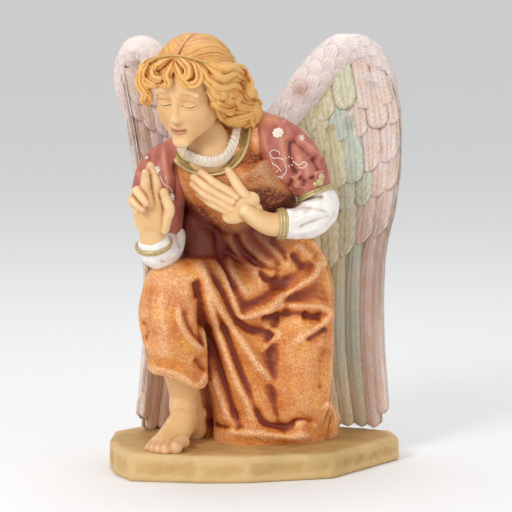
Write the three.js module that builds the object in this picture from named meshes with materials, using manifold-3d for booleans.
// Kneeling angel: a painted cast-resin figure that kneels on one knee on a low plinth, with two
// wings let into its back. Millimetres, +Z up, front towards -Y, origin under the middle of the
// plinth. The points of the figure and the wings are written for a figure of MODEL_HEIGHT, with z
// counted from the top of the plinth, and they grow with FIGURE_HEIGHT.
import * as THREE from "three";
import { mergeVertices } from "three/addons/utils/BufferGeometryUtils.js";
import Module from "manifold-3d";

// Driving dimensions
const FIGURE_HEIGHT = 446; // plinth top to the crest of the wings
const MODEL_HEIGHT = 446;
const PLINTH_WIDTH = 320;
const PLINTH_DEPTH = 202;
const PLINTH_THICK = 29; // at the middle
const PLINTH_FALL = 0.016; // the top falls this much per millimetre towards +X
const SEAT_GAP = 0.3; // clearance between pieces that touch

const wasm = await Module();
wasm.setup();

const grow = FIGURE_HEIGHT / MODEL_HEIGHT;
const at = (x, y, z) => new THREE.Vector3(x * grow, y * grow, PLINTH_THICK + z * grow);
const UP = new THREE.Vector3(0, 0, 1);
const AXES = [new THREE.Vector3(1, 0, 0), new THREE.Vector3(0, 1, 0), UP];
const LEAN = 0.85; // a line that leans further than this along an axis isn't measured across it

// Solids from three.js geometry, joined and cut
function solidOf(geometry) {
  geometry.deleteAttribute("normal");
  geometry.deleteAttribute("uv");
  const closed = mergeVertices(geometry, 1e-4);
  return new wasm.Manifold(
    new wasm.Mesh({
      numProp: 3,
      vertProperties: closed.attributes.position.array,
      triVerts: new Uint32Array(closed.index.array),
    }),
  );
}

function geometryOf(solid) {
  const { numProp, numVert, vertProperties, triVerts } = solid.getMesh();
  const positions = new Float32Array(numVert * 3);
  for (let i = 0; i < numVert; i++) {
    positions.set(vertProperties.subarray(i * numProp, i * numProp + 3), i * 3);
  }
  const geometry = new THREE.BufferGeometry();
  geometry.setAttribute("position", new THREE.BufferAttribute(positions, 3));
  geometry.setIndex(new THREE.BufferAttribute(triVerts, 1));
  geometry.computeVertexNormals();
  return geometry;
}

function solidFrom(points, faces) {
  const geometry = new THREE.BufferGeometry();
  geometry.setAttribute("position", new THREE.BufferAttribute(new Float32Array(points), 3));
  geometry.setIndex(faces);
  return solidOf(geometry);
}

const fuse = (solids) => solids.reduce((whole, solid) => whole.add(solid));

function ball(middle, radii, turn = new THREE.Euler(), sides = 12) {
  const geometry = new THREE.SphereGeometry(1, sides, Math.round(sides * 0.7));
  geometry.scale(...radii.map((r) => r * grow));
  geometry.applyMatrix4(new THREE.Matrix4().makeRotationFromEuler(turn));
  geometry.translate(middle.x, middle.y, middle.z);
  return solidOf(geometry);
}

// A closed body through oval sections. A station is [x, y, z, wide, deep, turn]: its middle, its two
// half-sizes (deep is as wide if left out) and the turn of its wide axis about Z, in degrees.
function body(stations, { sides = 10, steps = 2, cap = 0.5, place = at } = {}) {
  const points = stations.map(([x, y, z]) => place(x, y, z));
  const middles = new THREE.CatmullRomCurve3(points, false, "centripetal");
  const spans = stations.length - 1;
  const rings = spans * steps;
  const tangents = Array.from({ length: rings + 1 }, (_, ring) => middles.getTangent(ring / rings));
  const axis = AXES.find((a) => tangents.every((t) => Math.abs(t.dot(a)) < LEAN)) ?? AXES[1];
  const size = (s, k) => s[k] ?? (k === 4 ? s[3] : 0);
  const sizeAt = (k, t) => {
    const i = Math.min(Math.floor(t * spans), spans - 1);
    const from = size(stations[i], k);
    const to = size(stations[i + 1], k);
    return THREE.MathUtils.lerp(from, to, t * spans - i);
  };
  const frame = (t) => {
    const along = middles.getTangent(t);
    const turn = THREE.MathUtils.degToRad(sizeAt(5, t));
    const wide = axis.clone().applyAxisAngle(UP, -turn);
    wide.addScaledVector(along, -wide.dot(along)).normalize();
    return { along, wide, deep: along.clone().cross(wide) };
  };
  const tip = (t, way) => {
    const reach = way * cap * grow * Math.min(sizeAt(3, t), sizeAt(4, t));
    return middles.getPoint(t).addScaledVector(frame(t).along, reach).toArray();
  };
  const corners = tip(0, -1);
  for (let ring = 0; ring <= rings; ring++) {
    const t = ring / rings;
    const { wide, deep } = frame(t);
    for (let side = 0; side < sides; side++) {
      const angle = (side / sides) * 2 * Math.PI;
      const point = middles.getPoint(t);
      point.addScaledVector(wide, Math.cos(angle) * sizeAt(3, t) * grow);
      point.addScaledVector(deep, Math.sin(angle) * sizeAt(4, t) * grow);
      corners.push(...point.toArray());
    }
  }
  const last = corners.length / 3;
  corners.push(...tip(1, 1));
  const faces = [];
  const corner = (ring, side) => 1 + ring * sides + (side % sides);
  for (let side = 0; side < sides; side++) {
    faces.push(0, corner(0, side + 1), corner(0, side));
    for (let ring = 0; ring < rings; ring++) {
      faces.push(corner(ring, side), corner(ring, side + 1), corner(ring + 1, side + 1));
      faces.push(corner(ring, side), corner(ring + 1, side + 1), corner(ring + 1, side));
    }
    faces.push(corner(rings, side), corner(rings, side + 1), last);
  }
  return solidFrom(corners, faces);
}

// Tapered strip: thin at both ends, with its full radius between
const STRIP_END = 0.35; // radius of an end, as a share of the full radius
function strip(path, radius, { sides = 4, place = at } = {}) {
  const stations = path.map(([x, y, z], i) => {
    const isEnd = i === 0 || i === path.length - 1;
    return [x, y, z, isEnd ? radius * STRIP_END : radius];
  });
  return body(stations, { sides, steps: 1, place });
}

// Plinth: an irregular outline with a rounded end, and a top that falls towards +X
const OUTLINE = [
  [-0.5, -0.1], [-0.478, -0.27], [-0.422, -0.44], [-0.188, -0.5], [-0.03, -0.495], [0.26, -0.37],
  [0.5, 0.15], [0.475, 0.35], [0.19, 0.5], [-0.19, 0.5], [-0.4, 0.37], [-0.494, 0.2],
];
const plinthTop = (x) => PLINTH_THICK - PLINTH_FALL * x;

function plinthSolid(spread, topAt, bottom) {
  const corners = OUTLINE.map(([x, y]) => [x * PLINTH_WIDTH * spread, y * PLINTH_DEPTH * spread]);
  const contour = corners.map(([x, y]) => new THREE.Vector2(x, y));
  const points = [];
  corners.forEach(([x, y]) => points.push(x, y, bottom));
  corners.forEach(([x, y]) => points.push(x, y, topAt(x)));
  const count = corners.length;
  const faces = [];
  THREE.ShapeUtils.triangulateShape(contour, []).forEach(([a, b, c]) => {
    faces.push(a, c, b, count + a, count + b, count + c);
  });
  for (let i = 0; i < count; i++) {
    const next = (i + 1) % count;
    faces.push(i, next, count + next, i, count + next, count + i);
  }
  return solidFrom(points, faces);
}

// Robe: the trunk runs from the neck through the lap to the ground. The legs and the cloth that is
// gathered at the right of the waist are laid on it.
const TRUNK = [
  [-46, -46, 332, 24, 21, 20],
  [-42, -38, 316, 46, 27, 20],
  [-38, -34, 298, 57, 34, 20],
  [-18, -22, 268, 66, 38, 18],
  [-3, -6, 238, 56, 38, 12],
  [8, 10, 208, 57, 42, 8],
  [28, 22, 165, 56, 48, 6],
  [32, 32, 105, 54, 52, 4],
  [26, 38, 45, 48, 50, 0],
  [34, 40, -10, 62, 50, 0],
];
const YOKE = [
  [-94, -14, 308, 22],
  [-66, -24, 314, 27],
  [-36, -28, 318, 31],
  [-6, -26, 326, 29],
  [18, -22, 330, 23],
];
const LEGS = [
  [[10, 14, 152, 48], [-16, -4, 159, 46], [-42, -22, 166, 42], [-66, -41, 171, 38], [-84, -55, 172, 33]],
  [[-88, -58, 174, 33], [-91, -57, 150, 35.5], [-88, -51, 118, 34], [-85, -40, 82, 31]],
  [[38, 18, 150, 46], [42, 2, 100, 40], [44, 2, 50, 38], [48, 12, -10, 36]],
  [[40, 46, 36, 34], [54, 58, 24, 31], [66, 68, 12, 24], [76, 82, 0, 16]],
  [[-30, -8, 150, 44, 40], [-16, -2, 96, 44, 40], [-2, 4, 40, 46, 42], [2, 6, -10, 50, 44]],
  [[-34, 24, 130, 38], [-40, 40, 50, 34], [-40, 44, -10, 36]],
  [[-56, -20, 266, 20], [-60, -23, 240, 22], [-58, -27, 212, 24]],
];
// Folds seen from the front, as [x, z] on the cloth, with the radius of each ridge or furrow
const FOLDS = [
  { path: [[-70, 197], [-60, 170], [-48, 140], [-38, 103], [-24, 70], [-4, 30], [2, 2]], r: 7 },
  { path: [[-62, 200], [-50, 180], [-36, 150], [-22, 122], [-6, 88], [10, 58], [32, 12]], r: 7 },
  { path: [[-54, 198], [-38, 178], [-24, 152], [-15, 140], [6, 142], [30, 150], [56, 150], [76, 138]], r: 7 },
  { path: [[56, 216], [64, 196], [58, 178], [26, 160], [6, 150], [-14, 138]], r: 6 },
  { path: [[-38, 236], [-24, 214], [-16, 198], [-4, 186]], r: 6 },
  { path: [[-28, 232], [-10, 212], [8, 196], [20, 186]], r: 6 },
];
const FURROWS = [
  { path: [[6, 138], [40, 138], [72, 138]], r: 5 },
  { path: [[-18, 104], [-8, 66], [8, 34], [26, 16], [50, 14], [76, 20]], r: 6 },
];
// Folds that hang down the back between the wings: x at the shoulders and at the hem
const BACK_FOLDS = [[-44, -58], [-20, -8], [4, 40], [24, 80]];
const BACK_FOLD = 8;
const BACK_LEVELS = [270, 200, 120, 40, 2];

// Arms, each with a puffed sleeve, an undersleeve and a hand
const LEFT_ARM = [
  [[4, -27, 348, 17], [16, -32, 337, 25], [34, -37, 318, 29], [50, -40, 298, 26.5], [61, -43, 281, 20]],
  [[65, -44, 276, 18], [69, -48, 262, 20], [58, -58, 249, 18], [44, -66, 245, 15], [30, -71, 246, 13]],
  [[36, -70, 246, 14], [16, -74, 246, 14.5, 12.5], [-2, -77, 254, 15, 11]],
];
const RIGHT_ARM = [
  [[-84, -26, 318, 19], [-100, -26, 298, 27], [-105, -30, 266, 30], [-100, -34, 234, 23]],
  [[-91, -36, 228, 17], [-96, -52, 217, 18], [-103, -68, 215, 18.5], [-108, -78, 222, 18.5]],
  [[-109, -80, 222, 14], [-110, -86, 240, 14, 12], [-110, -89, 254, 18, 11]],
];
const LEFT_PALM = { middle: [-16, -77, 264], radii: [23, 9, 14], turn: [0, -0.62, 0] };
const RIGHT_PALM = { middle: [-110, -91, 256], radii: [20, 11, 21], turn: [0.1, 0, 0] };
const FINGER = 5.4; // radius at the root
const FINGER_TAPER = 0.12; // lost at each joint, as a share of it
const FINGERS = [
  [[-30, -78, 276], [-44, -80, 289], [-58, -75, 300]],
  [[-34, -79, 272], [-50, -81, 284], [-66, -75, 296]],
  [[-36, -79, 267], [-52, -81, 278], [-67, -75, 289]],
  [[-34, -78, 261], [-47, -80, 269], [-60, -75, 279]],
  [[-2, -76, 263], [-18, -80, 284], [-29, -75, 303]],
  [[-104, -92, 272], [-105, -94, 292], [-111, -98, 311]],
  [[-112, -94, 272], [-117, -99, 288], [-116, -105, 303]],
  [[-120, -92, 272], [-127, -98, 287], [-113, -109, 270]],
  [[-124, -92, 264], [-132, -97, 276], [-118, -108, 264]],
  [[-96, -94, 248], [-92, -99, 264], [-96, -102, 282]],
];

// Foot: the shank, the instep and the toes
const FOOT = [
  [[-84, -30, 88, 20], [-80, -22, 66, 17.5], [-75, -10, 44, 16], [-69, 0, 12, 15.5]],
  [[-71, 0, 12, 14, 13], [-79, -24, 22, 15, 15], [-90, -52, 14, 17, 12], [-97, -72, 8, 18, 9]],
];
const TOES = [[-86, -86, 8], [-97, -87, 6.4], [-104, -84, 6], [-110, -80, 5.6], [-115, -74, 5.4]];
const TOE_LONG = 1.7; // times its radius
const TOE_TURN = -0.25; // towards the angel's right, in radians

// Head, in its own frame: the face looks along -Y and +X is the angel's left
const HEAD_MIDDLE = [-68, -66, 384];
const HEAD_SIZE = 1.15; // share of the size that the points of the head are written for
const HEAD_TURNS = [20, 4, -26]; // nod, tilt and yaw in degrees
const headTurn = new THREE.Euler(...HEAD_TURNS.map(THREE.MathUtils.degToRad), "ZXY");
const inHead = (x, y, z) => {
  const offset = new THREE.Vector3(x, y, z).multiplyScalar(HEAD_SIZE * grow);
  return offset.applyEuler(headTurn).add(at(...HEAD_MIDDLE));
};
const bothSides = (shapes) => [...shapes, ...shapes.map(([[x, y, z], radii]) => [[-x, y, z], radii])];
const FACE = [
  [[0, 2, 14], [32, 38, 34]],
  [[0, -10.5, -11.5], [24, 24.5, 25.5]],
  [[0, -26.5, -32], [9.5, 8.5, 9]],
  [[0, -33, -19], [8, 3.6, 2.3]],
  [[0, -32.5, -23.5], [6.6, 3.6, 2.5]],
  ...bothSides([
    [[12, -20, -8.5], [12, 12, 13]],
    [[12.2, -27.5, 3.6], [7.5, 6.1, 5.6]],
    [[12, -28.5, 13], [10.3, 3.8, 3.4]],
  ]),
];
const NOSE = [[0, -32, 11, 2.6], [0, -36.2, -0.2, 3], [0, -39, -9.5, 4.8]];
const FACE_LARGE = 20; // a ball wider than this is rounder
const FACE_SIDES = { large: 9, small: 6 };
const NECK = [[-66, -48, 352, 22], [-55, -46, 338, 21], [-46, -42, 316, 27]];
const HAIR = [
  [[0, 10, 14], [38, 42, 38]],
  [[4, 30, -14], [33, 28, 30]],
];
const NAPE = { middle: [-21, -34, 360], radii: [24, 22, 17] };
// Curls over the brow, from temple to temple on an arc about the head's own upright
const FRINGE_CURLS = 7;
const FRINGE_CURL = 6.5; // radius
const FRINGE_SPREAD = 80; // degrees to each side
const FRINGE_ARC = { middle: 2, across: 36, forward: 39 };
const FRINGE_HEIGHT = { brow: 27, temple: 9 };
const CURL_STEP = { turn: 0.12, drop: 7 }; // from the middle of a curl to each end
// Locks of one side, from the parting to the nape
const LOCKS = [
  [[3, -12, 48], [22, -6, 43], [36, 0, 26], [36, 24, 4]],
  [[3, 12, 51], [22, 20, 45], [34, 32, 20], [28, 44, -4]],
  [[36, -16, 18], [40, -4, 2], [38, 18, -12], [26, 42, -18]],
];
const LOCK_RADIUS = 7.5;

// Collar: a band laid on the robe from shoulder to shoulder, as [x, z], and a frill inside it
const COLLAR = [[-92, 332], [-84, 312], [-66, 298], [-46, 294], [-26, 301], [-12, 318], [-6, 340]];
const COLLAR_RADIUS = 6;
const FRILL_RADIUS = 4.5;
const FRILL_MIDDLE = [-46, -46, 322]; // the frill lies from the collar towards this point of the neck

// Wings: each is a sheet between an inner and an outer edge, hung from a thick leading edge
const WINGS = [
  {
    name: "left_wing",
    crest: [
      [4, -2, 322, 15], [22, 26, 344, 17], [46, 50, 372, 19], [72, 62, 402, 21], [97, 66, 423, 20],
      [123, 66, 419, 16], [144, 62, 396, 10], [153, 59, 360, 5],
    ],
    inner: [[12, 44, 330], [32, 62, 284], [48, 74, 226], [56, 82, 150], [62, 84, 60], [76, 80, -4]],
    outer: [
      [147, 60, 396], [158, 56, 352], [159, 54, 306], [153, 54, 250], [143, 58, 196], [141, 60, 110],
      [149, 56, -4],
    ],
    arch: 46,
    feathers: [6, 6, 5, 5],
  },
  {
    name: "right_wing",
    crest: [
      [-50, -4, 316, 15], [-66, 24, 342, 15], [-84, 48, 370, 17], [-104, 54, 402, 19], [-126, 52, 423, 18],
      [-142, 50, 411, 13], [-148, 46, 388, 8], [-141, 45, 352, 4],
    ],
    inner: [[-58, 46, 326], [-56, 66, 286], [-52, 76, 230], [-56, 82, 150], [-66, 80, 60], [-86, 72, -2]],
    outer: [
      [-149, 46, 404], [-139, 44, 354], [-131, 42, 306], [-125, 40, 250], [-122, 40, 190], [-122, 38, 110],
      [-131, 32, -2],
    ],
    arch: 36,
    feathers: [5, 5, 4, 4],
  },
];
const WING_SHEET = 7; // thickness of the sheet that carries the feathers
const SHEET_BOW = 9; // the middle of the sheet lies this far behind its edges
const ARCH_REACH = 0.3; // the top of the sheet arches over this share of its height
const SHEET_COLUMNS = 3;
const SHEET_ROWS = 6;
const FEATHER_THICK = 3.4;
const FEATHER_WIDE = 0.98; // of its share of the row
const FEATHER_SINK = 0.3; // share of its row's stand-off that the root of a feather keeps
// Widths of a feather down its length, as shares of its length and of its full width
const FEATHER_SHAPE = [
  { level: 0, full: 0.9 },
  { level: 0.8, full: 1 },
  { level: 1, full: 0.45 },
];
// Rows of feathers from the top down, as shares of the height of the sheet
const ROWS = [
  { from: 0.03, to: 0.19, proud: 8 },
  { from: 0.15, to: 0.36, proud: 6 },
  { from: 0.31, to: 0.57, proud: 4 },
  { from: 0.52, to: 0.99, proud: 1 },
];

// Point of a wing's sheet: s runs from the inner to the outer edge, t from the top down
function sheetPoint(wing, s, t) {
  const along = (edge) => {
    const curve = new THREE.CatmullRomCurve3(edge.map((p) => new THREE.Vector3(...p)), false, "centripetal");
    return curve.getPoint(t);
  };
  const point = along(wing.inner).lerp(along(wing.outer), s);
  const middle = 4 * s * (1 - s);
  point.z += wing.arch * middle * Math.max(0, 1 - t / ARCH_REACH) ** 2;
  point.y += SHEET_BOW * middle;
  return point;
}

// The closed sheet of a wing, even in thickness along Y
function sheetSolid(wing) {
  const columns = SHEET_COLUMNS;
  const rows = SHEET_ROWS;
  const points = [];
  const outward = Math.sign(wing.outer[0][0]);
  for (const side of [-outward, outward]) {
    for (let j = 0; j <= rows; j++) {
      for (let i = 0; i <= columns; i++) {
        const p = sheetPoint(wing, i / columns, j / rows);
        points.push(...at(p.x, p.y + (side * WING_SHEET) / 2, p.z).toArray());
      }
    }
  }
  const row = columns + 1;
  const layer = row * (rows + 1);
  const faces = [];
  const quad = (a, b, c, d) => faces.push(a, b, c, a, c, d);
  for (let j = 0; j < rows; j++) {
    for (let i = 0; i < columns; i++) {
      const a = j * row + i;
      quad(a, a + row, a + row + 1, a + 1);
      quad(layer + a, layer + a + 1, layer + a + row + 1, layer + a + row);
    }
  }
  for (let i = 0; i < columns; i++) {
    const foot = rows * row + i;
    quad(i, i + 1, layer + i + 1, layer + i);
    quad(foot + 1, foot, layer + foot, layer + foot + 1);
  }
  for (let j = 0; j < rows; j++) {
    const inner = j * row;
    const outer = inner + columns;
    quad(inner + row, inner, layer + inner, layer + inner + row);
    quad(outer, outer + row, layer + outer + row, layer + outer);
  }
  return solidFrom(points, faces);
}

function feather(wing, row, count, k) {
  const s = (k + 0.5) / count;
  const stations = FEATHER_SHAPE.map(({ level, full }) => {
    const t = THREE.MathUtils.lerp(row.from, row.to, level);
    const inner = sheetPoint(wing, k / count, t);
    const outer = sheetPoint(wing, (k + 1) / count, t);
    const half = (inner.distanceTo(outer) / 2) * FEATHER_WIDE * full;
    const p = sheetPoint(wing, s, t);
    const proud = row.proud * THREE.MathUtils.lerp(FEATHER_SINK, 1, level);
    return [p.x, p.y - WING_SHEET / 2 - proud, p.z, half, FEATHER_THICK];
  });
  return body(stations, { sides: 4, steps: 1, cap: 0.4 });
}

function wingSolid(wing) {
  const feathers = ROWS.flatMap((row, i) => {
    const count = wing.feathers[i];
    return Array.from({ length: count }, (_, k) => feather(wing, row, count, k));
  });
  return fuse([sheetSolid(wing), body(wing.crest, { sides: 9, steps: 1, cap: 0.9 }), ...feathers]);
}

// The cloth is joined first, because its folds are laid on what the front and back views show
const grown = (stations, by) =>
  stations.map(([x, y, z, wide, deep = wide, turn = 0]) => [x, y, z, wide + by, deep + by, turn]);
const clothSolid = (by) =>
  fuse([
    body(grown(TRUNK, by), { sides: 11, steps: 1 }),
    body(grown(YOKE, by), { sides: 8, steps: 1 }),
    ...LEGS.map((leg) => body(grown(leg, by), { sides: 8, steps: 1 })),
  ]);
const cloth = clothSolid(0);
const FAR = 600;
const raycaster = new THREE.Raycaster();

function onCloth(solid, path, way) {
  const mesh = new THREE.Mesh(geometryOf(solid), new THREE.MeshBasicMaterial({ side: THREE.DoubleSide }));
  const points = [];
  for (const [x, z] of path) {
    raycaster.set(at(x, -FAR * way, z), new THREE.Vector3(0, way, 0));
    const hit = raycaster.intersectObject(mesh)[0];
    if (hit) points.push(hit.point.toArray());
  }
  return points;
}

const asIs = (x, y, z) => new THREE.Vector3(x, y, z);
// A strip lies partly in the cloth, and its ends run out into it
const SUNK = 0.05; // share of its radius
const sunk = (points, r) =>
  points.map(([x, y, z], i) => [x, y + r * (i === 0 || i === points.length - 1 ? 1 : SUNK), z]);
const laid = ({ path, r }) => strip(sunk(onCloth(cloth, path, 1), r), r, { place: asIs });
const backFolds = (by) => BACK_FOLDS.map(([top, hem]) => {
  const path = BACK_LEVELS.map((z, i) => {
    return [THREE.MathUtils.lerp(top, hem, i / (BACK_LEVELS.length - 1)), z];
  });
  return strip(onCloth(cloth, path, -1), BACK_FOLD + by, { place: asIs });
});
const robe = fuse([cloth, ...FOLDS.map(laid), ...backFolds(0)]).subtract(fuse(FURROWS.map(laid)));

const palm = ({ middle, radii, turn }) => ball(at(...middle), radii, new THREE.Euler(...turn), 8);
const limbs = [
  ...[...LEFT_ARM, ...RIGHT_ARM].map((part) => body(part, { sides: 7, steps: 1 })),
  palm(LEFT_PALM),
  palm(RIGHT_PALM),
  ...FINGERS.map((joints) => {
    const stations = joints.map(([x, y, z], i) => [x, y, z, FINGER * (1 - FINGER_TAPER * i)]);
    return body(stations, { sides: 5, steps: 1, cap: 0.8 });
  }),
  ...FOOT.map((part) => body(part, { sides: 7, steps: 1 })),
  ...TOES.map(([x, y, r]) => {
    return ball(at(x, y, r), [r, r * TOE_LONG, r], new THREE.Euler(0, 0, TOE_TURN), 6);
  }),
];

const headBall = (middle, radii, sides) => {
  return ball(inHead(...middle), radii.map((r) => r * HEAD_SIZE), headTurn, sides);
};
const headSizes = (stations) => stations.map(([x, y, z, r]) => [x, y, z, r * HEAD_SIZE]);
const face = [
  ...FACE.map(([middle, radii]) => {
    return headBall(middle, radii, radii[0] > FACE_LARGE ? FACE_SIDES.large : FACE_SIDES.small);
  }),
  body(headSizes(NOSE), { sides: 6, steps: 1, place: inHead }),
  body(NECK, { steps: 1 }),
];
const curls = Array.from({ length: FRINGE_CURLS }, (_, k) => {
  const spread = THREE.MathUtils.lerp(-FRINGE_SPREAD, FRINGE_SPREAD, k / (FRINGE_CURLS - 1));
  const angle = THREE.MathUtils.degToRad(spread);
  const towardsTemple = Math.abs(Math.sin(angle)) ** 3;
  const height = THREE.MathUtils.lerp(FRINGE_HEIGHT.brow, FRINGE_HEIGHT.temple, towardsTemple);
  const stations = [-1, 0, 1].map((part) => {
    const turn = angle + part * CURL_STEP.turn;
    const x = Math.sin(turn) * FRINGE_ARC.across;
    const y = FRINGE_ARC.middle - Math.cos(turn) * FRINGE_ARC.forward;
    return [x, y, height - part * CURL_STEP.drop, FRINGE_CURL];
  });
  return body(headSizes(stations), { sides: 5, steps: 1, place: inHead });
});
const locks = LOCKS.flatMap((lock) => [lock, lock.map(([x, y, z]) => [-x, y, z])]);
const hair = [
  ball(at(...NAPE.middle), NAPE.radii, undefined, 7),
  ...HAIR.map(([middle, radii]) => headBall(middle, radii, 8)),
  ...curls,
  ...locks.map((lock) => strip(lock, LOCK_RADIUS * HEAD_SIZE, { place: inHead })),
];

const collarLine = onCloth(cloth, COLLAR, 1);
const frillMiddle = at(...FRILL_MIDDLE);
const frillLine = collarLine.map((p) => {
  const point = new THREE.Vector3(...p);
  const inward = frillMiddle.clone().sub(point).normalize();
  return point.addScaledVector(inward, COLLAR_RADIUS + FRILL_RADIUS / 2).toArray();
});
const neckline = [
  strip(collarLine, COLLAR_RADIUS, { sides: 6, place: asIs }),
  strip(frillLine, FRILL_RADIUS, { place: asIs }),
];

// Everything above the plinth ends at its sloping top, less the seat's clearance
const WIDE = 1.6;
const ground = plinthSolid(WIDE, (x) => plinthTop(x) + SEAT_GAP, -FAR);
const plinth = plinthSolid(1, plinthTop, 0);
const figure = fuse([robe, ...limbs, ...face, ...hair, ...neckline]).subtract(ground);
const socket = fuse([clothSolid(SEAT_GAP / grow), ...backFolds(SEAT_GAP / grow)]);
const wings = WINGS.map((wing) => {
  const pieces = wingSolid(wing).subtract(socket).subtract(ground).decompose();
  const largest = pieces.reduce((a, b) => (b.volume() > a.volume() ? b : a));
  return { name: wing.name, solid: largest };
});

// Colours of the paint
const COLOURS = {
  plinth: 0xb79a6a,
  figure: 0xc4683a,
  left_wing: 0xd3bdb9,
  right_wing: 0xc9b6bd,
};
const group = new THREE.Group();
const nodes = [{ name: "plinth", solid: plinth }, { name: "figure", solid: figure }, ...wings];
for (const { name, solid } of nodes) {
  const material = new THREE.MeshStandardMaterial({ color: COLOURS[name], roughness: 0.6 });
  const mesh = new THREE.Mesh(geometryOf(solid), material);
  mesh.name = name;
  group.add(mesh);
}

export default group;
